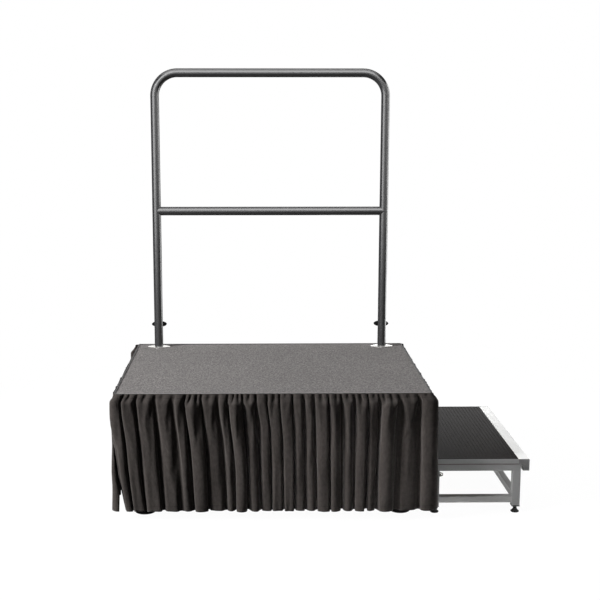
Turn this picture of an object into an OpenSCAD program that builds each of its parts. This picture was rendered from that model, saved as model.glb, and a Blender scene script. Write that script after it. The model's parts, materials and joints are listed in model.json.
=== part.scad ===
// Carpeted stage riser: a skirted deck on four levelling legs, a lift-off guard rail
// at the rear and a separate low step linked to the right-hand side.
// Front is -Y, right is +X, the floor is Z = 0. The origin is the centre of the footprint.

/* [Deck] */
// Width of the deck, left to right
deck_w = 1000; // [900:10:1200]
// Depth of the deck, front to rear
deck_d = 755; // [720:5:900]
// Height of the walking surface above the floor
deck_h = 417; // [400:1:450]
// Thickness of the carpet
carpet_t = 6; // [4:1:8]
// Thickness of the film-faced plywood panel
panel_t = 18; // [15:1:21]
// Thickness of the flat bar round the deck's edge
trim_t = 3; // [2:0.5:4]
// Height of the flat bar round the deck's edge
trim_h = 30; // [26:1:40]
// Height of the side and rear bars' lip above the carpet
trim_lip = 2; // [0:0.5:4]

/* [Deck frame] */
// Width of the perimeter frame tube
frame_w = 25; // [20:1:30]
// Height of the perimeter frame tube
frame_h = 50; // [45:1:60]
// Height of the two cross members
cross_h = 40; // [30:1:45]
// Distance of each cross member from the deck's centre
cross_x = 160; // [120:5:200]
// Wall thickness of the frame tubes
frame_wall = 2; // [1.5:0.5:3]

/* [Legs] */
// Distance of the legs from the deck's centre, left to right
leg_x = 417; // [380:1:420]
// Distance of the legs from the deck's centre, front to rear
leg_y = 294; // [270:1:296]
// Outer diameter of a leg tube
leg_d = 48.3; // [42:0.1:50]
// Diameter of the round floor pads
pad_d = 69; // [60:1:80]
// Radius of the levelling stem
stem_r = 8; // [6:0.5:9]

/* [Skirt] */
// How far the gathered skirt stands out from the deck's edge
skirt_t = 20; // [16:1:24]
// Height of the hem above the floor
hem_z = 36; // [30:1:50]
// Thickness of the hook-and-loop band behind the skirt's top
tape_t = 1.5; // [1:0.5:2]
// Height of the hook-and-loop band
tape_h = 20; // [16:1:24]

/* [Guard rail] */
// Outer diameter of the rail tubes (1 1/4 in)
tube_d = 31.75; // [31:0.05:33]
// Wall thickness of the rail tubes
tube_wall = 2; // [1.5:0.1:2]
// Distance of each post from the deck's centre
rail_x = 420; // [380:1:440]
// Distance of the rail behind the deck's centre
rail_y = 327; // [300:1:330]
// Height of the top tube's centreline above the floor
rail_top_z = 1431; // [1300:1:1500]
// Height of the middle tube's centreline above the floor
rail_mid_z = 930; // [850:1:1000]
// Centreline radius of the two top bends
bend_r = 82; // [60:1:100]
// Length of the oval chrome base flange
flange_l = 84; // [80:1:90]
// Depth of the oval chrome base flange, front to rear
flange_w = 54; // [50:1:60]
// Height of the inner spigot above the deck
spigot_h = 125; // [110:1:140]
// Height of the clamping wing screws above the deck
clamp_h = 83; // [70:1:95]
// Tip-to-tip width of a wing knob
wing_w = 55.6; // [50:0.2:60]
// Height of a wing knob at its hub
wing_h = 21; // [18:0.5:24]

/* [Step] */
// Gap between the deck's edge and the step frame, filled by the skirt
step_gap = 16; // [16:1:30]
// Width of the step frame, left to right
step_frame_w = 289; // [260:1:320]
// Depth of the step, front to rear
step_d = 656; // [600:2:680]
// Height of the tread above the floor
step_h = 181; // [170:1:200]
// Side of the square step leg tube
post_w = 25; // [24:1:28]
// Height of the step's rails and stretchers
bar_h = 20.5; // [18:0.5:22]
// Width of the light nosing along the outer edge of the tread
nosing_w = 34.5; // [32:0.5:38]
// Width of the nosing's box section
nosing_box_w = 20.5; // [18:0.5:22]
// Pitch of the ribs on the mat
rib_pitch = 12; // [8:1:16]
// Diameter of the step's small floor pads
step_pad_d = 27; // [24:1:32]

/* [Hidden] */
$fn = 64;
eps = 1;                    // overshoot of cutting shapes
running_gap = 0.05;         // radial clearance of a shaft in its bore
body_gap = 0.3;             // clearance between pieces that move apart
weld_gap = 0.1;             // seam between pieces butted together

half_w = deck_w / 2;
half_d = deck_d / 2;
panel_top = deck_h - carpet_t;
panel_bottom = panel_top - panel_t;
frame_bottom = panel_bottom - frame_h;
rail_in_x = half_w - trim_t - frame_w;      // inner face of the left and right frame rails
rail_in_y = half_d - trim_t - frame_w;      // inner face of the front and rear frame rails

bracket_plate_t = 5;
bracket_size = 95;
bracket_chamfer = 35;
socket_r = 28.5;
socket_len = 70;
plate_bottom = panel_bottom - bracket_plate_t;
clamp_bolt_r = 5;
clamp_bolt_z = plate_bottom - 0.6 * socket_len;
leg_wall = 2;
leg_r = leg_d / 2;
leg_bore_r = leg_r - leg_wall;
leg_top = plate_bottom - 2;
pad_h = 18;
collar_h = 7.7;
insert_flange_t = 2;
insert_z = pad_h + collar_h + body_gap;     // underside of the insert's flange
leg_bottom = insert_z + insert_flange_t;
insert_len = 27;
stem_len = 70;

skirt_top = deck_h - 0.5;
skirt_in = tape_t + body_gap;               // inner face of the skirt, from the deck's edge
skirt_flare = 26;                           // drop over which the gathers open out
skirt_right_t = step_gap - 2 * body_gap;

tube_r = tube_d / 2;
bore_r = tube_r - tube_wall;
flange_t = 5;                               // flange's height above the carpet
flange_rim_z = 2.4;
flange_tip_r = 9;                           // round ends of the oval flange
flange_flank = 0.3;                         // how far its straight flanks lie inside its round parts
flange_dome_r = 24;                         // where the flange's face starts to rise to the post
flange_dome_z = 3.8;
spigot_r = bore_r - 0.375;
spigot_wall = 3;
rail_foot_z = deck_h + flange_t;
clamp_z = deck_h + clamp_h;
clamp_r = 4;
boss_r = 10;
boss_out = 24;                              // boss's rear face, from the post's centre
hub_in = boss_out + 0.5;
hub_out = 38;
wing_in = 27;
wing_out = 35;
screw_end = 33;
flange_screw_pcd = flange_l - 2 * flange_tip_r;
flange_screw_z = deck_h + 2.6;
flange_screw_len = 25;

step_x = half_w + step_gap;                 // left face of the step frame
step_x2 = step_x + step_frame_w;            // right face of the step frame
nosing_x2 = step_x2 + 27.5;                 // outer face of the nosing
nosing_x = nosing_x2 - nosing_w;            // inner edge of the nosing's top
step_y = step_d / 2;
strip_t = 2;
strip_h = 15;
mat_t = 3;
rib_h = 1;
rib_w = rib_pitch / 2;
board_top = step_h - mat_t;
board_t = 15;
bar_top = board_top - board_t;              // top face of the step's rails
bar_bottom = bar_top - bar_h;
cap_t = 3;
post_bottom = 24;
stretcher_z = 35;
side_bar_w = 20;
side_bar_z = 42.5;
post_in_x = step_x + post_w / 2;            // centre of the inner legs
post_out_x = step_x2 - post_w / 2;          // centre of the outer legs
post_y = step_y - post_w / 2;
stud_r = 5;
step_pad_h = 17;
stud_top = 58;

link_z = 127;
link_r = 4;
link_bar_t = 6;
link_bar_h = 26;
link_bar_end = half_w - 4;
link_end = step_x + post_w + 9.5;
button_r = 6;
button_z = 155;
nosing_screw_y = [-250, 0, 250];

// The footprint runs from the left skirt to the nosing, and the origin is at its centre.
deck_x = -(nosing_x2 - half_w - skirt_t) / 2;

deck_screw_xy = concat(
    [for (x = [-300, 0, 300], s = [-1, 1]) [x, s * (half_d - trim_t - frame_w / 2)]],
    [for (y = [-200, 0, 200], s = [-1, 1]) [s * (half_w - trim_t - frame_w / 2), y]],
    [for (y = [-150, 150], s = [-1, 1]) [s * cross_x, y]]
);

// ---------- placing ----------

// Moves children from the deck's centre to the row's frame
module placed() translate([deck_x, 0, 0]) children();

// Children drawn in the +X +Y quarter, moved to the quarter with these signs
module quarter(sx, sy) mirror([sx < 0 ? 1 : 0, 0, 0]) mirror([0, sy < 0 ? 1 : 0, 0]) children();

// Children drawn in the +X +Y quarter, repeated in all four
module at_quarters() for (sx = [-1, 1], sy = [-1, 1]) quarter(sx, sy) children();

// Points local +Z along +X
module along_x() rotate([0, 90, 0]) children();

// Points local +Z along +Y
module along_y() rotate([-90, 0, 0]) children();

// ---------- stock shapes ----------

// Rectangular tube along X from its low corner
module tube_x(l, w, h, wall) difference() {
    cube([l, w, h]);
    translate([-eps, wall, wall]) cube([l + 2 * eps, w - 2 * wall, h - 2 * wall]);
}

// Rectangular tube along Y from its low corner
module tube_y(w, l, h, wall) difference() {
    cube([w, l, h]);
    translate([wall, -eps, wall]) cube([w - 2 * wall, l + 2 * eps, h - 2 * wall]);
}

// Square tube along Z, centred on its axis
module tube_z(side, l, wall) translate([-side / 2, -side / 2, 0]) difference() {
    cube([side, side, l]);
    translate([wall, wall, -eps]) cube([side - 2 * wall, side - 2 * wall, l + 2 * eps]);
}

// Round tube along Z
module pipe(r, l, wall) difference() {
    cylinder(r = r, h = l);
    translate([0, 0, -eps]) cylinder(r = r - wall, h = l + 2 * eps);
}

// Countersunk screw hanging down from its flush head at the origin
module countersunk(shank_r, head_r, l, gap = 0) {
    translate([0, 0, -l]) cylinder(r = shank_r + gap, h = l);
    translate([0, 0, -head_r + shank_r])
        cylinder(r1 = shank_r + gap, r2 = head_r + gap, h = head_r - shank_r);
}

// ---------- deck ----------

module deck_screw_set(gap = 0) for (p = deck_screw_xy)
    translate([p.x, p.y, panel_top]) countersunk(2.2, 4.5, 30, gap);

module flange_screw_set(gap = 0) for (sx = [-1, 1], a = [0, 180])
    translate([sx * rail_x, rail_y, flange_screw_z]) rotate([0, 0, a])
        translate([flange_screw_pcd / 2, 0, 0]) countersunk(2.5, 5, flange_screw_len, gap);

// Carpet, cut out around the two rail flanges
module deck_carpet() placed() color("dimgray") difference() {
    translate([trim_t - half_w, trim_t - half_d, panel_top])
        cube([deck_w - 2 * trim_t, deck_d - 2 * trim_t, carpet_t]);
    for (sx = [-1, 1]) translate([sx * rail_x, rail_y, panel_top - eps])
        linear_extrude(carpet_t + 2 * eps) flange_outline(body_gap);
}

module deck_panel() placed() color("#4a3a30") difference() {
    translate([trim_t - half_w, trim_t - half_d, panel_bottom])
        cube([deck_w - 2 * trim_t, deck_d - 2 * trim_t, panel_t]);
    deck_screw_set(running_gap);
    flange_screw_set(running_gap);
}

module deck_screws() placed() color("silver") {
    deck_screw_set();
    flange_screw_set();
}

// Flat bar with mitred ends along the front of a deck of this run, at this distance
module edge_bar(run, distance, lip) translate([0, -distance, deck_h - trim_h])
    linear_extrude(trim_h + lip) polygon([
        [-run / 2, 0], [run / 2, 0], [run / 2 - trim_t, trim_t], [trim_t - run / 2, trim_t]
    ]);

module edge_trim_front() placed() color("silver") edge_bar(deck_w, half_d, 0);
module edge_trim_rear() placed() color("dimgray") rotate(180) edge_bar(deck_w, half_d, trim_lip);
module edge_trim_left() placed() color("dimgray") rotate(-90) edge_bar(deck_d, half_w, trim_lip);
module edge_trim_right() placed() color("dimgray") rotate(90) edge_bar(deck_d, half_w, trim_lip);

// ---------- deck frame ----------

// Frame tube along the front (side -1) or rear (side 1)
module frame_rail_long(side) difference() {
    translate([trim_t - half_w, side > 0 ? rail_in_y : trim_t - half_d, frame_bottom])
        tube_x(deck_w - 2 * trim_t, frame_w, frame_h, frame_wall);
    deck_screw_set(running_gap);
}

// Frame tube along the left (side -1) or right (side 1)
module frame_rail_short(side) difference() {
    translate([side > 0 ? rail_in_x : trim_t - half_w, -rail_in_y, frame_bottom])
        tube_y(frame_w, 2 * rail_in_y, frame_h, frame_wall);
    deck_screw_set(running_gap);
}

module frame_rail_front() placed() color("gray") frame_rail_long(-1);
module frame_rail_rear() placed() color("gray") frame_rail_long(1);
module frame_rail_left() placed() color("gray") frame_rail_short(-1);
module frame_rail_right() placed() color("gray") frame_rail_short(1);

module cross_members() placed() color("gray") for (s = [-1, 1]) difference() {
    translate([s * cross_x - frame_w / 2, -rail_in_y, panel_bottom - cross_h])
        tube_y(frame_w, 2 * rail_in_y, cross_h, frame_wall);
    deck_screw_set(running_gap);
}

// Top plate, leg socket and two ribs of one corner
module corner_bracket() {
    low_x = rail_in_x - bracket_size;
    low_y = rail_in_y - bracket_size;
    translate([0, 0, plate_bottom]) linear_extrude(bracket_plate_t) polygon([
        [rail_in_x, rail_in_y], [low_x, rail_in_y], [low_x, low_y + bracket_chamfer],
        [low_x + bracket_chamfer, low_y], [rail_in_x, low_y]
    ]);
    difference() {
        union() {
            translate([leg_x, leg_y, plate_bottom - socket_len]) cylinder(r = socket_r, h = socket_len);
            translate([leg_x, leg_y - bracket_plate_t / 2, frame_bottom + 5])
                cube([rail_in_x - leg_x, bracket_plate_t, plate_bottom - frame_bottom - 5]);
            translate([leg_x - bracket_plate_t / 2, leg_y, frame_bottom + 5])
                cube([bracket_plate_t, rail_in_y - leg_y, plate_bottom - frame_bottom - 5]);
            translate([leg_x - socket_r - 8, leg_y, clamp_bolt_z]) along_x() cylinder(r = 10, h = 12);
        }
        translate([leg_x, leg_y, plate_bottom - socket_len - eps])
            cylinder(r = leg_r + body_gap, h = socket_len + eps);
        translate([leg_x - socket_r - 12, leg_y, clamp_bolt_z]) along_x()
            cylinder(r = clamp_bolt_r + running_gap, h = 20);
    }
}

module corner_brackets() placed() color("gray") at_quarters() corner_bracket();

// Hexagon bolt that presses on the leg inside its socket
module leg_clamp_bolts() placed() color("silver") at_quarters()
    translate([leg_x - leg_r - 0.2, leg_y, clamp_bolt_z]) along_x() {
        translate([0, 0, -24]) cylinder(r = clamp_bolt_r, h = 24);
        translate([0, 0, -31]) cylinder(r = 9.2, h = 7, $fn = 6);
    }

// ---------- legs and levelling feet ----------

module leg(sx, sy) translate([sx * leg_x, sy * leg_y, leg_bottom])
    pipe(leg_r, leg_top - leg_bottom, leg_wall);

module leg_front_left() placed() color("darkgray") leg(-1, -1);
module leg_front_right() placed() color("darkgray") leg(1, -1);
module leg_rear_left() placed() color("darkgray") leg(-1, 1);
module leg_rear_right() placed() color("darkgray") leg(1, 1);

// Threaded plug in the bottom of each leg
module leg_inserts() placed() color("dimgray") at_quarters()
    translate([leg_x, leg_y, insert_z]) difference() {
        union() {
            cylinder(r = leg_r, h = insert_flange_t);
            cylinder(r = leg_bore_r - running_gap, h = insert_len);
        }
        translate([0, 0, -eps]) cylinder(r = stem_r + running_gap, h = insert_len + 2 * eps);
    }

module foot_pad(sx, sy) translate([sx * leg_x, sy * leg_y, 0]) difference() {
    rotate_extrude() {
        polygon([
            [0, 0], [pad_d / 2 - 1.5, 0], [pad_d / 2, 1.5], [pad_d / 2, 6], [pad_d / 2 - 3, 9],
            [17, 12.5], [14, 15], [14, pad_h], [0, pad_h]
        ]);
    }
    translate([0, 0, pad_h / 2]) cylinder(r = stem_r + running_gap, h = pad_h);
}

module foot_stem(sx, sy) translate([sx * leg_x, sy * leg_y, pad_h]) {
    translate([0, 0, -pad_h / 2]) cylinder(r = stem_r, h = stem_len);
    cylinder(r = 13, h = collar_h, $fn = 6);
}

module foot_pad_front_left() placed() color("black") foot_pad(-1, -1);
module foot_pad_front_right() placed() color("black") foot_pad(1, -1);
module foot_pad_rear_left() placed() color("black") foot_pad(-1, 1);
module foot_pad_rear_right() placed() color("black") foot_pad(1, 1);
module foot_stem_front_left() placed() color("silver") foot_stem(-1, -1);
module foot_stem_front_right() placed() color("silver") foot_stem(1, -1);
module foot_stem_rear_left() placed() color("silver") foot_stem(-1, 1);
module foot_stem_rear_right() placed() color("silver") foot_stem(1, 1);

// ---------- skirt ----------

// Gathered panel along the front of a deck, from its narrow header to its open hem
module skirt_panel(run, distance, thickness) translate([-run / 2, -distance, 0])
    rotate([90, 0, 90]) linear_extrude(run) polygon([
        [-skirt_in, skirt_top], [-skirt_in, hem_z], [-thickness, hem_z],
        [-thickness, skirt_top - skirt_flare], [-skirt_in - 5, skirt_top]
    ]);

module skirt_front() placed() color("#2b2827") skirt_panel(deck_w + 2 * skirt_t, half_d, skirt_t);
module skirt_rear() placed() color("#2b2827")
    rotate(180) skirt_panel(deck_w + 2 * skirt_t, half_d, skirt_t);
module skirt_left() placed() color("#2b2827") rotate(-90) skirt_panel(deck_d, half_w, skirt_t);

// The right-hand panel has an eyelet for each link stud
module skirt_right() placed() color("#2b2827") difference() {
    rotate(90) skirt_panel(deck_d, half_w, skirt_right_t);
    for (s = [-1, 1]) translate([half_w - eps, s * post_y, link_z]) along_x()
        cylinder(r = link_r + 2, h = step_gap + 2 * eps);
}

// Hook-and-loop band stuck to the edge trim behind each panel
module tape_strip(run, distance) translate([1 - run / 2, -distance - tape_t, skirt_top - tape_h])
    cube([run - 2, tape_t, tape_h]);

module skirt_tape() placed() color("black") for (a = [0, 180]) rotate(a) {
    tape_strip(deck_w, half_d);
    rotate(90) tape_strip(deck_d, half_w);
}

// ---------- guard rail ----------

// Plan of the oval flange: a disc round the post, drawn out to a small round end on either side
module flange_outline(gap = 0) {
    disc_r = flange_w / 2 + gap;
    tip_r = flange_tip_r + gap;
    reach = flange_l / 2 - flange_tip_r;
    lean = acos((disc_r - tip_r) / reach);
    disc_at = (disc_r - flange_flank) * [cos(lean), sin(lean)];
    tip_at = [reach, 0] + (tip_r - flange_flank) * [cos(lean), sin(lean)];
    circle(r = disc_r);
    for (s = [-1, 1]) {
        translate([s * reach, 0]) circle(r = tip_r);
        polygon([
            [s * disc_at.x, disc_at.y], [s * tip_at.x, tip_at.y],
            [s * tip_at.x, -tip_at.y], [s * disc_at.x, -disc_at.y]
        ]);
    }
}

// Flange bolted to the panel through the carpet, with the spigot that the post slides over
module rail_socket(s) difference() {
    translate([s * rail_x, rail_y, deck_h]) {
        intersection() {
            translate([0, 0, -carpet_t]) linear_extrude(carpet_t + flange_t + eps) flange_outline();
            rotate_extrude() polygon([
                [spigot_r - spigot_wall, -carpet_t - eps], [flange_l / 2 + 2, -carpet_t - eps],
                [flange_l / 2 + 2, flange_rim_z], [flange_dome_r, flange_dome_z], [tube_r + 2, flange_t],
                [spigot_r - spigot_wall, flange_t]
            ]);
        }
        rotate_extrude() {
            polygon([
                [spigot_r - spigot_wall, 0], [spigot_r, 0], [spigot_r, spigot_h - 2],
                [spigot_r - 2, spigot_h], [spigot_r - spigot_wall, spigot_h]
            ]);
        }
    }
    flange_screw_set(running_gap);
}

module rail_socket_left() placed() color("gainsboro") rail_socket(-1);
module rail_socket_right() placed() color("gainsboro") rail_socket(1);

// Solid that follows the hoop's centreline: two posts, two bends and the top
module hoop_path(r, foot) {
    bend_z = rail_top_z - bend_r;
    for (s = [0, 1]) mirror([s, 0, 0]) {
        translate([rail_x, rail_y, foot]) cylinder(r = r, h = bend_z - foot);
        translate([rail_x - bend_r, rail_y, bend_z]) rotate([90, 0, 0])
            rotate_extrude(angle = 90) translate([bend_r, 0]) circle(r = r);
    }
    translate([bend_r - rail_x, rail_y, rail_top_z]) along_x()
        cylinder(r = r, h = 2 * (rail_x - bend_r));
}

module clamp_holes() for (s = [-1, 1]) translate([s * rail_x, rail_y, clamp_z])
    along_y() cylinder(r = clamp_r + running_gap, h = boss_out + eps);

module rail_hoop() placed() color("gray") difference() {
    hoop_path(tube_r, rail_foot_z);
    hoop_path(bore_r, rail_foot_z - eps);
    clamp_holes();
}

module mid_rail() placed() color("gray") difference() {
    translate([-rail_x, rail_y, rail_mid_z]) along_x() pipe(tube_r, 2 * rail_x, tube_wall);
    for (s = [-1, 1]) translate([s * rail_x, rail_y, rail_mid_z - tube_d])
        cylinder(r = tube_r, h = 2 * tube_d);
}

// Threaded boss welded behind each post
module clamp_bosses() placed() color("dimgray") difference() {
    for (s = [-1, 1]) translate([s * rail_x, rail_y, clamp_z]) along_y() cylinder(r = boss_r, h = boss_out);
    for (s = [-1, 1]) translate([s * rail_x, rail_y, clamp_z - 2 * boss_r])
        cylinder(r = tube_r, h = 4 * boss_r);
    clamp_holes();
}

// Flat oval of a knob's two wings
module wing_outline()
    polygon([for (a = [0 : 5 : 355]) [wing_w / 2 * cos(a), wing_h / 2 * sin(a)]]);

module wing_knob(s) translate([s * rail_x, rail_y, clamp_z]) along_y() difference() {
    union() {
        translate([0, 0, hub_in]) cylinder(r = wing_h / 2, h = hub_out - hub_in);
        translate([0, 0, wing_in]) linear_extrude(wing_out - wing_in) wing_outline();
    }
    translate([0, 0, hub_in - eps]) cylinder(r = clamp_r + running_gap, h = screw_end - hub_in + eps);
}

module clamp_screw(s) translate([s * rail_x, rail_y, clamp_z]) along_y()
    translate([0, 0, spigot_r + body_gap]) cylinder(r = clamp_r, h = screw_end - spigot_r - body_gap);

module wing_knob_left() placed() color("black") wing_knob(-1);
module wing_knob_right() placed() color("black") wing_knob(1);
module clamp_screw_left() placed() color("silver") clamp_screw(-1);
module clamp_screw_right() placed() color("silver") clamp_screw(1);

// ---------- link between deck and step ----------

// Flat bar welded to each right-hand leg, with the stud that passes through the skirt
module link_arms() placed() color("dimgray") for (s = [-1, 1]) {
    translate([0, s * post_y, link_z]) difference() {
        translate([leg_x, -link_bar_t / 2, -link_bar_h / 2])
            cube([link_bar_end - leg_x, link_bar_t, link_bar_h]);
        translate([leg_x, s * (leg_y - post_y), -link_bar_h]) cylinder(r = leg_r, h = 2 * link_bar_h);
    }
    translate([link_bar_end, s * post_y, link_z]) along_x()
        cylinder(r = link_r, h = link_end - link_bar_end);
}

// Domed nut inside each inner leg of the step
module link_nuts() placed() color("gainsboro") for (s = [-1, 1])
    translate([step_x + post_w, s * post_y, link_z]) along_x() difference() {
        union() {
            cylinder(r = 7.5, h = 6.5, $fn = 6);
            cylinder(r = 6, h = 8);
            translate([0, 0, 8]) sphere(r = 6);
        }
        translate([0, 0, -6]) cylinder(r = 7, h = 6);
        translate([0, 0, -eps]) cylinder(r = link_r + 0.1, h = 11);
    }

// ---------- step ----------

module step_mat() placed() color("#2f2c2b") {
    x0 = step_x + strip_t;
    run = nosing_x - x0;
    ribs = floor((run - rib_w) / rib_pitch);
    margin = (run - ribs * rib_pitch - rib_w) / 2;
    translate([0, step_y - strip_t, board_top]) rotate([90, 0, 0]) linear_extrude(step_d - 2 * strip_t) {
        translate([x0, 0]) square([run, mat_t - rib_h]);
        for (i = [0 : ribs]) translate([x0 + margin + i * rib_pitch, 0]) square([rib_w, mat_t]);
    }
}

module step_board() placed() color("#4a3a30")
    translate([step_x + strip_t, strip_t - step_y, bar_top])
        cube([nosing_x - step_x - strip_t, step_d - 2 * strip_t, board_t]);

// Flat strips round the tread's front, rear and inner edges, clear of the rails below
module step_edge_strips() placed() color("gray") {
    for (s = [-1, 1])
        translate([step_x + strip_t + weld_gap, s > 0 ? step_y - strip_t : -step_y, step_h - strip_h])
            cube([nosing_x - step_x - strip_t - weld_gap, strip_t, strip_h]);
    translate([step_x, -step_y, step_h - strip_h]) cube([strip_t, step_d, strip_h]);
}

// Section of the nosing: a wide top over a box, with the outer top edge rounded
module nosing_outline() difference() {
    union() {
        translate([nosing_x, bar_top]) square([nosing_w, step_h - bar_top]);
        translate([nosing_x2 - nosing_box_w, bar_bottom]) square([nosing_box_w, bar_h]);
    }
    translate([nosing_x2 - 2, step_h - 2]) difference() {
        square(3);
        circle(r = 2);
    }
}

module step_nosing() placed() color("whitesmoke") difference() {
    translate([0, step_y - strip_t, 0]) rotate([90, 0, 0])
        linear_extrude(step_d - 2 * strip_t) difference() {
        nosing_outline();
        translate([nosing_x + 2, bar_top + 2]) square([nosing_w - 4, step_h - bar_top - 4.5]);
        translate([nosing_x2 - nosing_box_w + 2, bar_bottom + 2]) square([nosing_box_w - 4, bar_h - 4]);
    }
    nosing_screw_set(running_gap);
}

module nosing_end_caps() placed() color("gray") for (y = [strip_t - step_y, step_y])
    translate([0, y, 0]) rotate([90, 0, 0]) linear_extrude(strip_t) nosing_outline();

module nosing_screw_set(gap = 0) for (y = nosing_screw_y)
    translate([nosing_x2 - nosing_box_w + 3, y, step_h]) countersunk(1.8, 3.4, 8, gap);

// Screws through the nosing, and button-head screws in the rails above the inner legs
module step_frame_screws() placed() color("silver") {
    nosing_screw_set();
    for (s = [0, 1]) mirror([0, s, 0]) translate([post_in_x, -step_y, button_z]) rotate([90, 0, 0]) {
        cylinder(r1 = button_r, r2 = button_r - 2.5, h = 3);
        translate([0, 0, -8]) cylinder(r = 3, h = 8);
    }
}

module step_rails() placed() color("gray") difference() {
    union() {
        for (y = [-step_y, step_y - post_w]) translate([step_x, y, bar_bottom])
            tube_x(step_frame_w, post_w, bar_h, frame_wall);
        for (x = [step_x, step_x2 - post_w]) translate([x, post_w + weld_gap - step_y, bar_bottom])
            tube_y(post_w, step_d - 2 * (post_w + weld_gap), bar_h, frame_wall);
    }
    for (s = [-1, 1]) translate([post_in_x, s * step_y, button_z]) along_y()
        cylinder(r = 3 + running_gap, h = 20, center = true);
}

module step_legs() placed() color("gray") difference() {
    for (x = [post_in_x, post_out_x], s = [-1, 1]) translate([x, s * post_y, post_bottom])
        tube_z(post_w, bar_bottom - post_bottom, frame_wall);
    for (s = [-1, 1]) translate([step_x - eps, s * post_y, link_z]) along_x()
        cylinder(r = link_r + body_gap, h = post_w + 2 * eps);
}

module step_stretchers() placed() color("gray") {
    for (y = [-step_y, step_y - post_w]) translate([step_x + post_w, y, stretcher_z])
        tube_x(step_frame_w - 2 * post_w, post_w, bar_h, frame_wall);
    for (x = [post_in_x, post_out_x]) translate([x - side_bar_w / 2, post_w - step_y, side_bar_z])
        tube_y(side_bar_w, step_d - 2 * post_w, bar_h, frame_wall);
}

// Children at the foot of each step leg
module at_step_legs()
    for (x = [post_in_x, post_out_x], s = [-1, 1]) translate([x, s * post_y, 0]) children();

module step_leg_caps() placed() color("black") at_step_legs() difference() {
    union() {
        translate([-post_w / 2 - 0.4, -post_w / 2 - 0.4, post_bottom - cap_t])
            cube([post_w + 0.8, post_w + 0.8, cap_t]);
        translate([2.1 - post_w / 2, 2.1 - post_w / 2, post_bottom])
            cube([post_w - 4.2, post_w - 4.2, 14]);
    }
    translate([0, 0, post_bottom - cap_t - eps])
        cylinder(r = stud_r + running_gap, h = 14 + cap_t + 2 * eps);
}

// Tapered lock nut between each foot and its leg cap
module step_lock_nuts() placed() color("silver") at_step_legs() difference() {
    translate([0, 0, step_pad_h + body_gap])
        cylinder(r1 = 6.5, r2 = 9.5, h = post_bottom - cap_t - step_pad_h - body_gap);
    cylinder(r = stud_r + running_gap, h = post_bottom);
}

// Moulded cone foot with the stud that screws into the leg cap
module step_foot(x, s) translate([x, s * post_y, 0]) {
    rotate_extrude() polygon([
        [0, 0], [step_pad_d / 2 - 1, 0], [step_pad_d / 2, 1], [step_pad_d / 2, 3.5],
        [step_pad_d / 2 - 3, 5.5], [7.5, 9], [6, 13], [5.8, step_pad_h], [0, step_pad_h]
    ]);
    translate([0, 0, step_pad_h]) cylinder(r = stud_r, h = stud_top - step_pad_h);
}

module step_foot_front_inner() placed() color("black") step_foot(post_in_x, -1);
module step_foot_front_outer() placed() color("black") step_foot(post_out_x, -1);
module step_foot_rear_inner() placed() color("black") step_foot(post_in_x, 1);
module step_foot_rear_outer() placed() color("black") step_foot(post_out_x, 1);

deck_carpet();
deck_panel();
edge_trim_front();
edge_trim_rear();
edge_trim_left();
edge_trim_right();
frame_rail_front();
frame_rail_rear();
frame_rail_left();
frame_rail_right();
cross_members();
corner_brackets();
deck_screws();
leg_front_left();
leg_front_right();
leg_rear_left();
leg_rear_right();
leg_clamp_bolts();
leg_inserts();
skirt_front();
skirt_left();
skirt_right();
skirt_rear();
skirt_tape();
foot_pad_front_left();
foot_pad_front_right();
foot_pad_rear_left();
foot_pad_rear_right();
foot_stem_front_left();
foot_stem_front_right();
foot_stem_rear_left();
foot_stem_rear_right();
rail_socket_left();
rail_socket_right();
rail_hoop();
mid_rail();
clamp_bosses();
wing_knob_left();
wing_knob_right();
clamp_screw_left();
clamp_screw_right();
link_arms();
link_nuts();
step_mat();
step_board();
step_edge_strips();
step_nosing();
nosing_end_caps();
step_rails();
step_legs();
step_stretchers();
step_leg_caps();
step_lock_nuts();
step_frame_screws();
step_foot_front_inner();
step_foot_front_outer();
step_foot_rear_inner();
step_foot_rear_outer();
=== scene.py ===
"""Looks of the carpeted stage riser: deck, gathered skirt, guard rail and linked side step."""

import json
import math

import bmesh
import bpy
import numpy as np
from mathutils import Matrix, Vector


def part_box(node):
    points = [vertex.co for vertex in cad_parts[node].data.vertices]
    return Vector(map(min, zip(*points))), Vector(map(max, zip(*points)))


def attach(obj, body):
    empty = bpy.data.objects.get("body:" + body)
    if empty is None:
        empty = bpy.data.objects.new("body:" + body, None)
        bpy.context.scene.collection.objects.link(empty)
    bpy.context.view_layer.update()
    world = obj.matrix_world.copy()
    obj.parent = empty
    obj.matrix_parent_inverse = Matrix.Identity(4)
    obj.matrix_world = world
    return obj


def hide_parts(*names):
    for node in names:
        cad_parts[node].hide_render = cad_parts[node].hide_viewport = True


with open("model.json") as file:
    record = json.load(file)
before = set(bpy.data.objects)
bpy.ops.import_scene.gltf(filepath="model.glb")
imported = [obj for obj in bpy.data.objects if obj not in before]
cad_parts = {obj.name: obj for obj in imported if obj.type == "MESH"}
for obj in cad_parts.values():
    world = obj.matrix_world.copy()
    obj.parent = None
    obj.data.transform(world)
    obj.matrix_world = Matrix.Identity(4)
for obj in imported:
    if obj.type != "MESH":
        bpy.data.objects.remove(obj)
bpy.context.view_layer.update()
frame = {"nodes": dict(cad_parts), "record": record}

MM = 0.001
scene = bpy.context.scene
scene.view_settings.view_transform = "Standard"

# ---------- places taken from the frame ----------

TRIM_LO, TRIM_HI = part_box("edge_trim_front")
SKIRT_LO, SKIRT_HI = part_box("skirt_front")

DECK_X = (TRIM_LO.x + TRIM_HI.x) / 2
HALF_W = (TRIM_HI.x - TRIM_LO.x) / 2
HALF_D = -TRIM_LO.y
DECK_TOP = TRIM_HI.z
SKIRT_TOP = SKIRT_HI.z
DROP = SKIRT_TOP - SKIRT_LO.z

# ---------- camera ----------

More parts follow.
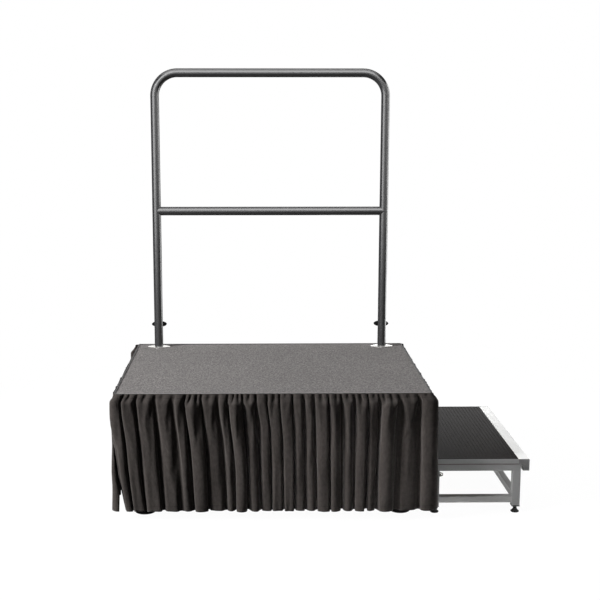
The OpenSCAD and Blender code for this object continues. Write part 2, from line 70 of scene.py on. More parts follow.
LENS, SENSOR = 66.4, 36         # mm
SHIFT = 25 / 600                # sideways, as a share of the picture's width
FAR = 60                        # metres that the camera sees
EYE = (DECK_X - 0.0478, -3.7653, 1.2859)
DOWN, RIGHTWARD = 9.57, 0.91    # degrees that the view is turned, from level and straight back


def make_camera():
    """Eye-level view from the front, a little left of the deck's middle."""
    data = bpy.data.cameras.new("camera")
    data.lens, data.sensor_width = LENS, SENSOR
    data.shift_x = SHIFT
    data.clip_end = FAR
    camera = bpy.data.objects.new("camera", data)
    camera.location = EYE
    camera.rotation_euler = (math.radians(90 - DOWN), 0, math.radians(-RIGHTWARD))
    scene.collection.objects.link(camera)
    scene.camera = camera


# ---------- lights ----------

# points that the lights aim at, from the floor under the deck's middle
MIDDLE = (0, 0, 0.7)
DECK_FRONT = (0, -0.3, 0.2)
RAIL = (0, 0, 1.1)
STEP = (0.68, -0.1, 0.06)
STEP_TREAD = (0.68, 0, 0.40)
STEP_FRAME = (0.58, -0.05, 0.3)


def softbox(name, azimuth, elevation, reach, size, radiance, target=MIDDLE, diffuse=True,
            glossy=True, spread=180):
    """Rectangular softbox at this reach from its target, and at an azimuth (0 is the front, 90 the
    right) and elevation in degrees. With glossy off no surface mirrors it, and with diffuse off it
    shows in reflections only."""
    width, height = size
    data = bpy.data.lights.new(name, "AREA")
    data.shape = "RECTANGLE"
    data.size, data.size_y = size
    data.energy = radiance * math.pi * width * height
    data.spread = math.radians(spread)
    az, el = math.radians(azimuth), math.radians(elevation)
    target = Vector(target) + Vector((DECK_X, 0, 0))
    toward = Vector((math.sin(az) * math.cos(el), -math.cos(az) * math.cos(el), math.sin(el)))
    light = bpy.data.objects.new(name, data)
    light.location = target + reach * toward
    light.rotation_euler = toward.to_track_quat("Z", "Y").to_euler()
    light.visible_camera, light.visible_diffuse, light.visible_glossy = False, diffuse, glossy
    scene.collection.objects.link(light)


def make_lights():
    """An overhead bank and a low key from the left; the tubes mirror softboxes of their own."""
    # name, azimuth, elevation, reach, (width, height), radiance and target
    softbox("overhead_bank", 180, 62, 3.0, (4.4, 2.4), 4.1, glossy=False)
    softbox("left_key", -68, 25, 5.0, (1.3, 1.8), 76.0, DECK_FRONT, glossy=False)
    softbox("step_fill", -12, 4, 2.2, (1.3, 0.4), 0.55, STEP, glossy=False, spread=28)
    softbox("top_strip", 180, 84, 3.2, (4.6, 1.6), 2.3, diffuse=False)
    softbox("front_strip", 0, 47, 3.8, (4.6, 3.7), 4.8, diffuse=False)
    softbox("front_panel", -4, 2, 4.4, (2.2, 1.6), 1.7, diffuse=False)
    softbox("front_right_panel", 31, 4, 4.4, (2.4, 1.8), 0.8, diffuse=False)
    softbox("left_softbox", -44, 14, 3.8, (3.2, 2.6), 4.6, diffuse=False)
    softbox("right_softbox", 66, 16, 3.8, (2.0, 2.4), 2.4, diffuse=False)
    softbox("right_rim", 114, 0, 2.4, (1.4, 2.2), 5.0, RAIL, diffuse=False)
    softbox("back_strip", 180, 13, 3.8, (4.4, 1.8), 1.15, diffuse=False)
    softbox("step_glow", 180, 0, 1.15, (0.9, 0.3), 2.4, STEP_TREAD, diffuse=False)
    softbox("step_bounce", 0, -90, 0.295, (0.2, 0.6), 6.0, STEP_FRAME, glossy=False)


# ---------- node trees ----------

class Shading:
    """The node tree of a material or world, and a helper that adds a node to it."""

    def __init__(self, owner, empty=True):
        owner.use_nodes = True
        self.nodes, self.links = owner.node_tree.nodes, owner.node_tree.links
        if empty:
            self.nodes.clear()

    def node(self, kind, inputs=None, **settings):
        """A new node. Each input is a value, or the output that feeds it."""
        made = self.nodes.new(kind)
        for key, value in settings.items():
            setattr(made, key, value)
        for key, value in (inputs or {}).items():
            if hasattr(value, "is_output"):
                self.links.new(value, made.inputs[key])
            else:
                made.inputs[key].default_value = value
        return made

    def if_camera(self, lit, seen):
        """Shader that looks like seen to the camera, and like lit to all other rays."""
        by_camera = self.node("ShaderNodeLightPath").outputs["Is Camera Ray"]
        return self.node("ShaderNodeMixShader", {"Fac": by_camera, 1: lit, 2: seen}).outputs[0]


class Material(Shading):
    """A procedural material: a Principled shader, with helpers for the nodes that feed it."""

    def __init__(self, name, color, metallic=0.0, roughness=0.5, **sockets):
        self.material = bpy.data.materials.new(name)
        super().__init__(self.material, empty=False)
        self.shader = self.nodes["Principled BSDF"]
        self.color = color
        self.place = self.node("ShaderNodeTexCoord")
        sockets.update(Base_Color=(*color, 1), Metallic=metallic, Roughness=roughness)
        for socket, value in sockets.items():
            self.shader.inputs[socket.replace("_", " ")].default_value = value

    def feed(self, source, socket):
        self.links.new(source, self.shader.inputs[socket])

    def coordinates(self, scale=(1, 1, 1), uv=False):
        """Object coordinates in metres, or the mesh's UVs in metres, scaled."""
        source = self.place.outputs["UV" if uv else "Object"]
        return self.node("ShaderNodeMapping", {"Vector": source, "Scale": scale}).outputs[0]

    def noise(self, scale, detail=4.0, stretch=(1, 1, 1), uv=False, roughness=0.5):
        return self.node("ShaderNodeTexNoise", {
            "Vector": self.coordinates(stretch, uv), "Scale": scale, "Detail": detail,
            "Roughness": roughness}).outputs["Fac"]

    def waves(self, direction, scale, distortion, detail=2.0, detail_scale=1.0, stretch=(1, 1, 1),
              uv=False):
        made = self.node("ShaderNodeTexWave", {
            "Vector": self.coordinates(stretch, uv), "Scale": scale, "Distortion": distortion,
            "Detail": detail, "Detail Scale": detail_scale}, bands_direction=direction)
        return made.outputs["Fac"]

    def cells(self, scale, randomness):
        return self.node("ShaderNodeTexVoronoi", {
            "Vector": self.coordinates(), "Scale": scale, "Randomness": randomness}).outputs

    def ramp(self, value, low, high, out_low=0.0, out_high=1.0):
        """Value mapped from low..high to out_low..out_high, and clamped."""
        return self.node("ShaderNodeMapRange", {
            "Value": value, "From Min": low, "From Max": high,
            "To Min": out_low, "To Max": out_high}).outputs["Result"]

    def math(self, operation, a, b=0.0):
        return self.node("ShaderNodeMath", {0: a, 1: b}, operation=operation).outputs[0]

    def product(self, first, *others):
        for other in others:
            first = self.math("MULTIPLY", first, other)
        return first

    def mix(self, factor, a, b):
        """Color a at 0 and color b at 1."""
        slots = {0: factor, 6: (*a, 1), 7: (*b, 1)}
        return self.node("ShaderNodeMix", slots, data_type="RGBA").outputs[2]

    def tint(self, factor):
        """Sets the colour, times a factor that varies over the surface."""
        tinted = self.node("ShaderNodeVectorMath", {0: self.color, 3: factor}, operation="SCALE")
        self.feed(tinted.outputs[0], "Base Color")

    def bump(self, height, distance, strength=1.0, before=None):
        inputs = {"Height": height, "Distance": distance, "Strength": strength}
        if before is not None:
            inputs["Normal"] = before
        return self.node("ShaderNodeBump", inputs).outputs["Normal"]


# ---------- world and floor ----------

WHITE = (1, 1, 1, 1)
ROOM_LIGHT = 0.03
FLOOR_REACH = 14               # from the middle to each side
FLOOR_GAIN = 1.25              # reflectance of the floor as the camera sees it, beside the object
FLOOR_BOUNCE = 0.08            # and as it throws light back on the object
FLOOR_GLOW = 0.97              # share of the seen floor that shows no shadow
FLOOR_CLEAR = (1.1, 2.0)       # from here to there the floor fades into plain white


def make_world():
    """White to the eye, and a dim grey room to everything that it lights."""
    scene.world = bpy.data.worlds.new("studio")
    world = Shading(scene.world)
    lit, seen = (
        world.node("ShaderNodeBackground", {"Color": WHITE, "Strength": strength}).outputs[0]
        for strength in (ROOM_LIGHT, 1.0))
    world.node("ShaderNodeOutputWorld", {"Surface": world.if_camera(lit, seen)})


def floor_material():
    material = bpy.data.materials.new("floor")
    floor = Shading(material)
    place = floor.node("ShaderNodeTexCoord").outputs["Object"]
    distance = floor.node("ShaderNodeVectorMath", {0: place}, operation="LENGTH").outputs["Value"]
    faded = floor.node("ShaderNodeMapRange", {
        "Value": distance, "From Min": FLOOR_CLEAR[0], "From Max": FLOOR_CLEAR[1]},
        interpolation_type="SMOOTHSTEP").outputs["Result"]
    plain = floor.node("ShaderNodeMapRange", {
        "Value": faded, "To Min": FLOOR_GLOW, "To Max": 1.0}).outputs["Result"]
    near, lit = (floor.node("ShaderNodeBsdfDiffuse", {"Color": (grey, grey, grey, 1)}).outputs[0]
                 for grey in (FLOOR_GAIN, FLOOR_BOUNCE))
    far = floor.node("ShaderNodeEmission", {"Color": WHITE, "Strength": 1.0}).outputs[0]
    seen = floor.node("ShaderNodeMixShader", {"Fac": plain, 1: near, 2: far}).outputs[0]
    floor.node("ShaderNodeOutputMaterial", {"Surface": floor.if_camera(lit, seen)})
    return material


def make_floor():
    """Pale seamless studio floor, which fades into the white around it."""
    mesh = bpy.data.meshes.new("floor")
    corners = [(x * FLOOR_REACH, y * FLOOR_REACH, 0)
               for x, y in ((-1, -1), (1, -1), (1, 1), (-1, 1))]
    mesh.from_pydata(corners, [], [(0, 1, 2, 3)])
    mesh.materials.append(floor_material())
    floor = bpy.data.objects.new("floor", mesh)
    scene.collection.objects.link(floor)


# ---------- materials ----------

HEADER_SEAM = 12 * MM          # sewn line below the header's edge
HEM_TURN = 18 * MM             # depth of the turned hem, to its sewn line
SEAM_CORE = 0.5 * MM           # from a sewn line's middle to where it starts to fade
SEAM_EDGE = 1.2 * MM           # and to where it ends
SEAM_SHADE = 0.65              # brightness of a sewn line, beside the cloth's
STITCH = 5 * MM                # from one stitch to the next
WARP, WEFT = 520.0, 430.0      # scales of the threads down and across the cloth

LOOPS, HOOKS = 380.0, 900.0    # scales of the carpet's loops and the tape's hooks
DUST_LIGHTER = 0.03            # settled dust, over the colour below it
MOULD_SPREAD = 0.08            # of a moulded surface's roughness, to either side


def skirt_cloth():
    """Charcoal woven drape: fine weave, faint slubs, soft sheen, sewn lines at header and hem."""
    m = Material("skirt_cloth", (0.036, 0.0315, 0.0295), roughness=0.85, Specular_IOR_Level=0.0,
                 Sheen_Weight=0.3, Sheen_Roughness=0.45, Sheen_Tint=(0.75, 0.72, 0.70, 1))
    patches = m.ramp(m.noise(9.0, uv=True), 0.35, 0.65, 0.9, 1.1)
    slubs = m.ramp(m.noise(150.0, 3.0, (1, 0.45, 1), uv=True), 0.3, 0.7, 0.82, 1.18)
    place = m.node("ShaderNodeSeparateXYZ", {"Vector": m.coordinates(uv=True)}).outputs
    distances = (m.math("ABSOLUTE", m.math("SUBTRACT", place["Y"], at))
                 for at in (HEADER_SEAM, DROP - HEM_TURN))
    seams = m.math("ADD", *(m.ramp(off, SEAM_CORE, SEAM_EDGE, 1.0, 0.0) for off in distances))
    m.tint(m.product(patches, slubs, m.ramp(seams, 0, 1, 1.0, SEAM_SHADE)))
    along = m.math("SINE", m.math("MULTIPLY", place["X"], 2 * math.pi / STITCH))
    stitches = m.ramp(along, -0.3, 0.3)
    sewn = m.bump(m.product(seams, stitches), -0.6 * MM, 0.8)
    warp, weft = (m.waves(direction, scale, 0.6, 1.0, uv=True)
                  for direction, scale in (("X", WARP), ("Y", WEFT)))
    m.feed(m.bump(m.product(warp, weft), 0.25 * MM, 0.5, sewn), "Normal")
    return m.material


def carpet():
    """Grey loop pile: every loop has its own shade, among broader worn patches."""
    m = Material("carpet", (0.095, 0.088, 0.086), roughness=0.95, Specular_IOR_Level=0.02,
                 Sheen_Weight=0.08, Sheen_Roughness=0.6)
    loops = m.cells(LOOPS, 0.9)
    color = m.node("ShaderNodeSeparateColor", {"Color": loops["Color"]}).outputs["Red"]
    patches = m.ramp(m.noise(190.0, 3.0), 0.3, 0.7, 0.60, 1.40)
    wear = m.ramp(m.noise(3.0, 3.0), 0.3, 0.7, 0.95, 1.05)
    m.tint(m.product(m.ramp(color, 0, 1, 0.45, 1.55), patches, wear))
    pile = m.math("SUBTRACT", 1.0, m.math("MULTIPLY", loops["Distance"], 1.4))
    lay = m.bump(m.noise(140.0, 3.0), 1.0 * MM, 0.5)
    m.feed(m.bump(pile, 1.2 * MM, 0.8, lay), "Normal")
    return m.material


def plywood():
    """Plywood under a dark phenolic film: faint grain through it, and the plies on the edge."""
    m = Material("plywood", (0.045, 0.030, 0.022), roughness=0.42)
    grain = m.waves("Y", 3.0, 7.0, 4.0, 2.2, stretch=(1, 14, 1))
    plies = m.waves("Z", 110.0, 0.4)
    pores = m.noise(9.0, 6.0, (4, 90, 4))
    m.tint(m.product(m.ramp(grain, 0, 1, 0.8, 1.15), m.ramp(pores, 0.4, 0.75, 1.1, 0.8),
                     m.ramp(plies, 0, 1, 0.9, 1.1)))
    m.feed(m.ramp(pores, 0.3, 0.7, 0.36, 0.5), "Roughness")
    m.feed(m.bump(pores, 0.15 * MM, 0.6), "Normal")
    return m.material


def metal(name, color, roughness, stretch=(1, 1, 1), streak=0.06, smudge=0.08, metallic=1.0,
          level=0.5, grain=0.02 * MM):
    """Bare or coated metal: fine drawing lines, whose direction the stretch sets, and smudges."""
    m = Material(name, color, metallic, roughness, Specular_IOR_Level=level)
    lines = m.noise(60.0, 5.0, tuple(12 * k for k in stretch), roughness=0.65)
    smudges = m.noise(14.0, 4.0)
    m.tint(m.ramp(lines, 0.3, 0.7, 1 - streak, 1 + streak))
    gloss = m.math("ADD", m.ramp(lines, 0.3, 0.7, -streak, streak),
                   m.ramp(smudges, 0.35, 0.7, 0, smudge))
    m.feed(m.math("ADD", gloss, roughness), "Roughness")
    m.feed(m.bump(lines, grain, 0.5), "Normal")
    return m.material


def moulded(name, color, roughness, grain=900.0, depth=0.05 * MM, dust=0.25, level=0.3):
    """Moulded plastic or rubber: a fine grain of this scale and depth, and a little dust."""
    m = Material(name, color, roughness=roughness, Specular_IOR_Level=level)
    grit = m.noise(grain, 3.0)
    settled = m.ramp(m.noise(22.0, 5.0), 0.45, 0.75, 0.0, dust)
    m.feed(m.mix(settled, color, tuple(c + DUST_LIGHTER for c in color)), "Base Color")
    m.feed(m.ramp(grit, 0.3, 0.7, roughness - MOULD_SPREAD, roughness + MOULD_SPREAD), "Roughness")
    m.feed(m.bump(grit, depth, 0.8), "Normal")
    return m.material


def hook_tape():
    """Black hook-and-loop tape: rows of tiny hooks."""
    m = Material("hook_tape", (0.012, 0.012, 0.012), roughness=0.9)
    hooks = m.cells(HOOKS, 0.4)["Distance"]
    m.tint(m.ramp(hooks, 0, 0.6, 1.8, 0.5))
    m.feed(m.bump(hooks, 0.4 * MM, 0.8), "Normal")
    return m.material


BARS = (0.06, 0.06, 1)          # drawing lines that run level, for bars laid along X or Y
POSTS = (1, 1, 0.06)            # and ones that run up and down

# finishes of the record's material slots
FINISHES = {
    "carpet": carpet,
    "plywood": plywood,
    "bright_trim": lambda: metal("bright_trim", (0.17, 0.165, 0.16), 0.5, BARS, metallic=0.3),
    "dark_trim": lambda: metal("dark_trim", (0.035, 0.034, 0.034), 0.42, BARS, 0.03, metallic=0.3),
    "deck_frame": lambda: metal("deck_frame", (0.05, 0.05, 0.052), 0.45, BARS, 0.03, metallic=0.2),
    "deck_leg": lambda: metal("deck_leg", (0.45, 0.45, 0.45), 0.36, POSTS),
    "zinc_steel": lambda: metal("zinc_steel", (0.60, 0.60, 0.58), 0.28),
    "hook_tape": hook_tape,
    "chrome_flange": lambda: metal("chrome_flange", (0.84, 0.83, 0.80), 0.2, streak=0.01,
                                   smudge=0.05, metallic=0.9),
    "rail_tube": lambda: metal("rail_tube", (0.020, 0.020, 0.021), 0.24, POSTS, 0.02, 0.02,
                               metallic=0.0, level=1.0, grain=0.003 * MM),
    "black_plastic": lambda: moulded("black_plastic", (0.006, 0.006, 0.006), 0.5, dust=0.1,
                                     level=0.1),
    "black_rubber": lambda: moulded("black_rubber", (0.007, 0.007, 0.007), 0.6, 500.0, dust=0.15,
                                    level=0.12),
    "ribbed_rubber": lambda: moulded("ribbed_rubber", (0.008, 0.006, 0.0052), 0.3, 420.0, 0.1 * MM,
                                     dust=0.05, level=0.0044),
    "step_frame": lambda: metal("step_frame", (0.20, 0.20, 0.20), 0.5, BARS, metallic=0.2),
    "step_nosing": lambda: metal("step_nosing", (0.74, 0.74, 0.73), 0.45, BARS, 0.03, metallic=0.2),
}

# nodes whose finish differs a little from the rest of their slot: lit and shaded copies of the step
# frame's finish, the stretchers lighter (painted light), the end caps darker (painted shade), the
# legs nearly the same
LIT_AND_SHADED_COPIES = {
    "step_legs": lambda: metal("step_leg", (0.21, 0.21, 0.21), 0.5, POSTS, metallic=0.2),
    # painted light: a lighter copy of the step frame's finish
    "step_stretchers": lambda: metal("step_stretcher", (0.27, 0.27, 0.265), 0.5, BARS,
                                     metallic=0.2),
    # painted shade: a darker copy of the step frame's finish
    "nosing_end_caps": lambda: metal("nosing_end_cap", (0.11, 0.11, 0.11), 0.5, BARS,
                                     metallic=0.2),
}


def paint_cad_nodes():
    """Gives every CAD node its finish, apart from the skirt's, which are replaced."""
    shared = {}
    for part in frame["record"]["subparts"]:
        name, slot = part["node"], part["material_slot"]
        if slot == "skirt_cloth":
            continue
        # lit and shaded copies of the step frame's finish, with painted light and painted shade
        if name in LIT_AND_SHADED_COPIES:
            finish = LIT_AND_SHADED_COPIES[name]()
        else:
            if slot not in shared:
                shared[slot] = FINISHES[slot]()
            finish = shared[slot]
        node = frame["nodes"][name]
        node.data.materials.clear()
        node.data.materials.append(finish)


# ---------- gathered skirt: how the cloth folds ----------

STEP_U, STEP_V = 3.2 * MM, 6 * MM   # cloth mesh spacing, along a panel and down it
FOLD_DEPTH = 25.5 * MM              # of the front and rear panels
RIGHT_DEPTH, LEFT_DEPTH = 11 * MM, 12 * MM
REAR_PITCH, RIGHT_PITCH, LEFT_PITCH = 42 * MM, 30 * MM, 36 * MM
PITCH_SPREAD = (0.6, 1.5)           # from the narrowest fold to the widest, times the pitch
DEPTH_SPREAD = (0.5, 1.1)           # from the shallowest fold to the deepest, times the depth above
DEPTH_LIMIT = 0.75                  # a fold's depth, at most, as a share of its width
GATHER = 22 * MM                    # width of one gather at the header
GATHER_SPREAD = (0.7, 1.3)          # from the narrowest one to the widest
GATHERS_MORE_OR_LESS = 0.35         # in a fold, before their number is rounded
GATHER_BREADTH = (0.1, 0.5)         # how much broader crests are than valleys, at the header
FOLD_BREADTH = (0.4, 1.2)           # and below it
MERGE_START = (0.0, 0.006)          # below the header's edge, where gathers run into a fold
MERGE_OVER = (0.012, 0.045)         # and the length that it takes
LEFTOVER = (0.0, 0.15)              # share of the gathers that goes on down to the hem
FAN = 0.4                           # share by which folds fan out from even places at the header
FAN_END = (0.25, 0.85)              # share of the drop where a fold has reached its place
PULL = 0.11                         # how far in from a panel's end its slant reaches
WANDER = 2.5 * MM                   # a fold's swing to either side, on its way down
WANDER_TURNS = (2.2, 4.1)           # radians of its slow and its quick swing over the drop
VALLEY_RISE = 0.45                  # highest valley floor, as a share of the fold depth
STEEPEST = 2.6                      # radians, so that deep folds lean over themselves
HALVINGS = 22

# widths of the front panel's folds at the hem, from left to right, in mm before they are fitted
FRONT_FOLDS = (
    26, 34, 56, 60, 40, 42, 58, 32, 38, 40, 32, 40, 32, 36, 34, 42, 36, 42, 38, 28, 68, 72, 60)


def ease(t):
    """Smooth step from 0 to 1, as t goes from 0 to 1."""
    t = np.clip(t, 0, 1)
    return t * t * (3 - 2 * t)


def cloth_share(width, depth):
    """Cloth length of a wave of this width and depth, for each unit of its width."""
    return 1 + 0.25 * (np.pi * depth / width) ** 2


def fold_of(u, edges):
    """Number of the fold that each distance u along the cloth lies in."""
    return np.clip(np.searchsorted(edges, u, side="right") - 1, 0, len(edges) - 2)


def fold_angle(u, edges, breadth):
    """Slope of the cloth at each distance u: out of a valley, over a broader crest and back."""
    k = fold_of(u, edges)
    phase = 2 * np.pi * (u - edges[k]) / (edges[k + 1] - edges[k])
    return np.sin(phase + breadth[k] * np.sin(phase))


def split_edges(edges, pitch, rng):
    """Fold edges with each fold cut into uneven gathers, as many as come nearest the pitch."""
    out = [edges[0]]
    for a, b in zip(edges[:-1], edges[1:]):
        spare = rng.uniform(-GATHERS_MORE_OR_LESS, GATHERS_MORE_OR_LESS)
        n = max(1, int(round((b - a) / pitch + spare)))
        cuts = np.cumsum(rng.uniform(*GATHER_SPREAD, n))
        out.extend(a + (b - a) * cuts / cuts[-1])
    return np.array(out)


def fitted_slopes(angle, fold, widths, du):
    """The slopes, scaled fold by fold until the cloth of each one covers its width."""
    low, high = np.zeros(len(widths)), np.full(len(widths), STEEPEST)
    for _ in range(HALVINGS):
        size = (low + high) / 2
        run = np.bincount(fold[:-1], np.cos(size[fold[:-1]] * angle[:-1]) * du, len(widths))
        longer = run > widths
        low, high = np.where(longer, size, low), np.where(longer, high, size)
    return size[fold] * angle


def slanted(hem, ends, hem_ends):
    """Fold edges at a height whose ends lie elsewhere than the hem's: the slant fades inwards."""
    opened = hem + (ends[0] - hem_ends[0]) * np.exp((hem_ends[0] - hem) / PULL)
    return opened + (ends[1] - hem_ends[1]) * np.exp((hem - hem_ends[1]) / PULL)


def random_folds(run, pitch, seed):
    """Uneven fold widths that fill a run."""
    widths = np.random.default_rng(seed).uniform(*PITCH_SPREAD, int(round(run / pitch)))
    return widths * run / widths.sum()


def gathered_rows(folds, span, seed, depth=FOLD_DEPTH):
    """Cloth points in rows from the header down, as (along the panel, outward), and its u and v.

    Every row is the same cloth length. Fine gathers at the header run into the folds, whose
    widths at the hem are given. span(v) is where a row starts and ends along the panel.
    """
    rng = np.random.default_rng(seed)
    folds = np.array(folds, float)
    n = len(folds)
    hem_ends = span(DROP)
    hem_run = hem_ends[1] - hem_ends[0]
    hem = hem_ends[0] + np.concatenate([[0], np.cumsum(folds)]) / folds.sum() * hem_run
    width = np.diff(hem)
    deep = np.minimum(depth * rng.uniform(*DEPTH_SPREAD, n), DEPTH_LIMIT * width)

    edges = np.concatenate([[0], np.cumsum(width * cloth_share(width, deep))])
    cloth = edges[-1]
    top_edges = split_edges(edges, GATHER * (cloth / hem_run), rng)
    u = np.linspace(0, cloth, int(round(cloth / STEP_U)) + 1)
    v = np.linspace(0, DROP, int(round(DROP / STEP_V)) + 1)
    du = cloth / (len(u) - 1)
    fold = fold_of(u, edges)
    top = fold_angle(u, top_edges, rng.uniform(*GATHER_BREADTH, len(top_edges)))
    low = fold_angle(u, edges, rng.uniform(*FOLD_BREADTH, n))

    merge_at, merge_over, leftover = (
        rng.uniform(*bounds, n) for bounds in (MERGE_START, MERGE_OVER, LEFTOVER))
    fan_at = rng.uniform(*FAN_END, n + 1) * DROP
    wander = rng.uniform(-1, 1, (2, n + 1)) * WANDER
    valley = rng.uniform(0, 1, (2, n + 1)) ** 2 * VALLEY_RISE * depth

    rows = []
    for height in v:
        t = height / DROP
        ends = span(height)
        opened = slanted(hem, ends, hem_ends)
        gathered = opened + FAN * (ends[0] + edges / cloth * (ends[1] - ends[0]) - opened)
        sway = sum(swing * np.sin(turns * t) for swing, turns in zip(wander, WANDER_TURNS))
        sway[0] = sway[-1] = 0
        at = gathered + ease(height / fan_at) * (opened - gathered) + sway
        merged = (1 - leftover) * ease((height - merge_at) / merge_over)
        turn = fitted_slopes(top + merged[fold] * (low - top), fold, np.diff(at), du)
        along = np.concatenate([[0], np.cumsum(np.cos(turn[:-1]) * du)])
        out = np.concatenate([[0], np.cumsum(np.sin(turn[:-1]) * du)])
        rest = valley[0] * (1 - t) + valley[1] * t
        along = along + np.interp(u, edges, at - np.interp(edges, u, along))
        out = out + np.interp(u, edges, rest - np.interp(edges, u, out))
        rows.append(np.stack([along, out], axis=1))
    return np.array(rows), u, v


# ---------- gathered skirt: panels round the deck ----------

OFF_EDGE = 2.2 * MM            # from the deck's edge to the innermost cloth
CORNER_R = 12 * MM             # the header's turn round a corner of the deck
CORNER_LEAD = 0.6              # share of that radius, before the corner, where the turn starts
HEADER_FLAT = 0.3              # depth of the folds at the header's edge, as a share of the full one
HEADER_REACH = 30 * MM         # below the header's edge, where they are as deep as they get
LEFT_REACH = 80 * MM           # and on the left panel
STITCHED = 16 * MM             # depth of the header that the tape holds, the lower half less firmly
HALF_HELD = 0.5
THICKNESS = 0.7 * MM
EDGE_DEPTH = 74 * MM           # of the deck's edge that the cloth settles against
EDGE_MARGIN = 1 * MM           # that the cloth keeps from it
SETTLE_FRAMES = 12

# how a panel's ends lie below the header: by how much, from which height, and over how much height
SWELL = (11 * MM, 0, 25 * MM)
CORNER_SWELL = (6 * MM, 0, 30 * MM)
DRAWN_IN = (19 * MM, 50 * MM, 140 * MM)
FLARE = (6 * MM, 160 * MM, 220 * MM)
ROUND_CORNER = (26 * MM, 140 * MM, 180 * MM)
SLIT, SLIT_FROM, SLIT_OVER, SLIT_CURVE = 30 * MM, 160 * MM, 220 * MM, 1.6

# how far a panel's ends lie beyond the deck's edge at the header, or short of it
FRONT_RIGHT_END = 8 * MM
REAR_ENDS = 16 * MM
RIGHT_ENDS = -6 * MM
LEFT_REAR_END, LEFT_FRONT_END = -12 * MM, -14 * MM

CLOTH = {
    "quality": 5, "mass": 0.02, "tension_stiffness": 20, "compression_stiffness": 20,
    "shear_stiffness": 8, "bending_stiffness": 0.15, "tension_damping": 8, "compression_damping": 8,
    "shear_damping": 8, "air_damping": 1.5}
CONTACT = {"distance_min": 1.5 * MM, "use_self_collision": True, "self_distance_min": 1.2 * MM}


def around_corners(along, out, half_run):
    """Places in plan of a panel along a deck edge of this half length, and round its corners."""
    straight = half_run - CORNER_LEAD * CORNER_R
    past = np.maximum(np.abs(along) - straight, 0)
    angle = np.minimum(past / CORNER_R, np.pi / 2)
    beyond = past - angle * CORNER_R
    side = np.sign(along)
    reach = OFF_EDGE + out
    x = side * (np.minimum(np.abs(along), straight) + (CORNER_R + reach) * np.sin(angle))
    y = CORNER_R - (CORNER_R + reach) * np.cos(angle) + beyond
    return x, y


def cloth_object(name, points, u, v):
    """Mesh of quads from rows of points, with the cloth's own u and v as its UVs in metres."""
    n_rows, n_cols = points.shape[:2]
    index = np.arange(n_rows * n_cols).reshape(n_rows, n_cols)
    quads = np.stack([index[:-1, :-1], index[1:, :-1], index[1:, 1:], index[:-1, 1:]], axis=-1)
    mesh = bpy.data.meshes.new(name)
    mesh.from_pydata(points.reshape(-1, 3).tolist(), [], quads.reshape(-1, 4).tolist())
    layer = mesh.uv_layers.new(name="cloth")
    corners = np.empty(len(mesh.loops), int)
    mesh.loops.foreach_get("vertex_index", corners)
    layer.data.foreach_set("uv", flat_grid(u, v)[corners].astype(np.float32).ravel())
    mesh.polygons.foreach_set("use_smooth", [True] * len(mesh.polygons))
    piece = bpy.data.objects.new(name, mesh)
    scene.collection.objects.link(piece)
    return piece


def flat_grid(u, v):
    """Places of a panel's points on the flat cloth."""
    return np.stack(np.meshgrid(u, v), axis=-1).reshape(-1, 2)


def deck_edge(turn, half_run, distance):
    """Thin box through the deck's edge, which the cloth of one panel can't pass."""
    mesh = bpy.data.meshes.new("deck_edge")
    shape = bmesh.new()
    bmesh.ops.create_cube(shape, size=1.0)
    low = (-half_run, -distance, DECK_TOP - EDGE_DEPTH)
    high = (half_run, distance, DECK_TOP)
    for vertex in shape.verts:
        vertex.co = [high[i] if vertex.co[i] > 0 else low[i] for i in range(3)]
    shape.to_mesh(mesh)
    shape.free()
    edge = bpy.data.objects.new("deck_edge", mesh)
    scene.collection.objects.link(edge)
    edge.rotation_euler.z = math.radians(turn)
    edge.location.x = DECK_X
    edge.modifiers.new("collision", "COLLISION")
    edge.collision.thickness_outer = EDGE_MARGIN
    return edge


def settle(piece, u, v, edge):
    """Lets the gathered cloth fall and settle from its header, against the deck's edge."""
    flat = flat_grid(u, v)
    header = piece.vertex_groups.new(name="header")
    for i in np.flatnonzero(flat[:, 1] < STITCHED):
        header.add([int(i)], 1.0 if flat[i, 1] < STITCHED / 2 else HALF_HELD, "REPLACE")
    piece.shape_key_add(name="gathered")
    cut = piece.shape_key_add(name="cut")
    laid = np.stack([flat[:, 0], 0 * flat[:, 0], -flat[:, 1]], 1)
    cut.data.foreach_set("co", laid.astype(np.float32).ravel())
    cut.value = 0
    modifier = piece.modifiers.new("cloth", "CLOTH")
    for settings, values in ((modifier.settings, CLOTH), (modifier.collision_settings, CONTACT)):
        for key, value in values.items():
            setattr(settings, key, value)
    modifier.settings.vertex_group_mass = header.name
    modifier.settings.rest_shape_key = cut
    modifier.point_cache.frame_start, modifier.point_cache.frame_end = 1, SETTLE_FRAMES
    for frame_number in range(1, SETTLE_FRAMES + 1):
        scene.frame_set(frame_number)
    settled = piece.evaluated_get(bpy.context.evaluated_depsgraph_get()).to_mesh()
    places = np.empty(3 * len(settled.vertices), np.float32)
    settled.vertices.foreach_get("co", places)
    piece.modifiers.remove(modifier)
    piece.shape_key_clear()
    piece.data.vertices.foreach_set("co", places)
    piece.data.update()
    bpy.data.objects.remove(edge)
    scene.frame_set(1)


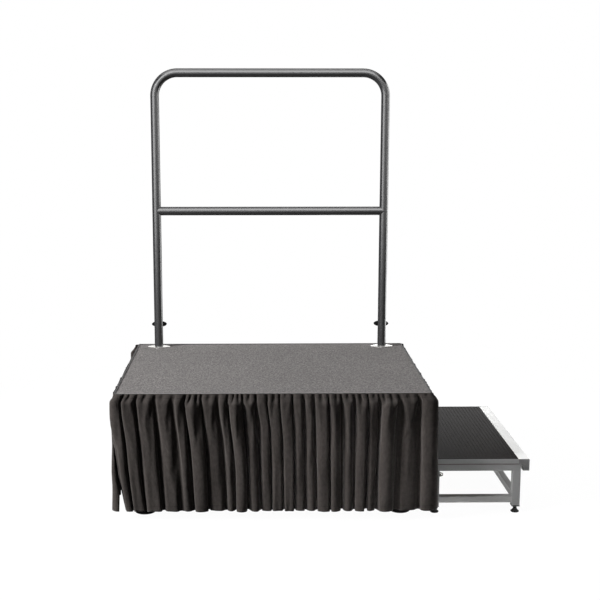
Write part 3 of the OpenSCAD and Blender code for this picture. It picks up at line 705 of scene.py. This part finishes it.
def make_panel(name, node, turn, gathered, cloth, reach=HEADER_REACH):
    """Panel of cloth in front of one side of the deck, at this many degrees from the front one."""
    rows, u, v = gathered
    half_run, distance = (HALF_W, HALF_D) if turn % 180 == 0 else (HALF_D, HALF_W)
    depth = HEADER_FLAT + (1 - HEADER_FLAT) * ease(v / reach)
    x, y = around_corners(rows[..., 0], rows[..., 1] * depth[:, None], half_run)
    y = y - distance
    z = np.broadcast_to(SKIRT_TOP - v[:, None], x.shape)
    sin, cos = math.sin(math.radians(turn)), math.cos(math.radians(turn))
    points = np.stack([x * cos - y * sin + DECK_X, x * sin + y * cos, z], -1)
    piece = cloth_object(name, points, u, v)
    settle(piece, u, v, deck_edge(turn, half_run, distance))
    thickness = piece.modifiers.new("thickness", "SOLIDIFY")
    thickness.thickness = THICKNESS
    thickness.offset = 0
    piece.data.materials.append(cloth)
    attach(piece, "platform")
    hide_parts(node)


def grown(v, size, start, over):
    """A size that is reached smoothly, from a start below the header and over some height."""
    return size * ease((v - start) / over)


def front_span(v):
    """Ends of the front panel: both swell below the header. The left one is then drawn in, and
    leaves a slit towards the hem, where the right one flares."""
    swell = grown(v, *SWELL)
    slit = SLIT * np.clip((v - SLIT_FROM) / SLIT_OVER, 0, 1) ** SLIT_CURVE
    return (-HALF_W - swell - grown(v, *CORNER_SWELL) + grown(v, *DRAWN_IN) + slit,
            HALF_W + FRONT_RIGHT_END + swell + grown(v, *FLARE))


def left_span(v):
    """Ends of the left panel: towards the hem it reaches round the corner, behind the slit."""
    return -HALF_D - LEFT_REAR_END, HALF_D + LEFT_FRONT_END + grown(v, *ROUND_CORNER)


def even_span(half_run):
    """Span of a panel with upright ends."""
    return lambda v: (-half_run, half_run)


def make_skirt():
    """Four panels, the front one with the folds that the photo shows."""
    cloth = skirt_cloth()
    rear_folds = random_folds(2 * HALF_W, REAR_PITCH, 5)
    right_folds = random_folds(2 * HALF_D, RIGHT_PITCH, 6)
    left_folds = random_folds(2 * HALF_D, LEFT_PITCH, 7)
    make_panel("skirt_front_cloth", "skirt_front", 0,
               gathered_rows(FRONT_FOLDS, front_span, 11), cloth)
    make_panel("skirt_rear_cloth", "skirt_rear", 180,
               gathered_rows(rear_folds, even_span(HALF_W + REAR_ENDS), 12), cloth)
    make_panel("skirt_right_cloth", "skirt_right", 90,
               gathered_rows(right_folds, even_span(HALF_D + RIGHT_ENDS), 13, RIGHT_DEPTH), cloth)
    make_panel("skirt_left_cloth", "skirt_left", -90,
               gathered_rows(left_folds, left_span, 14, LEFT_DEPTH), cloth, LEFT_REACH)


make_camera()
make_world()
make_lights()
make_floor()
paint_cad_nodes()
make_skirt()
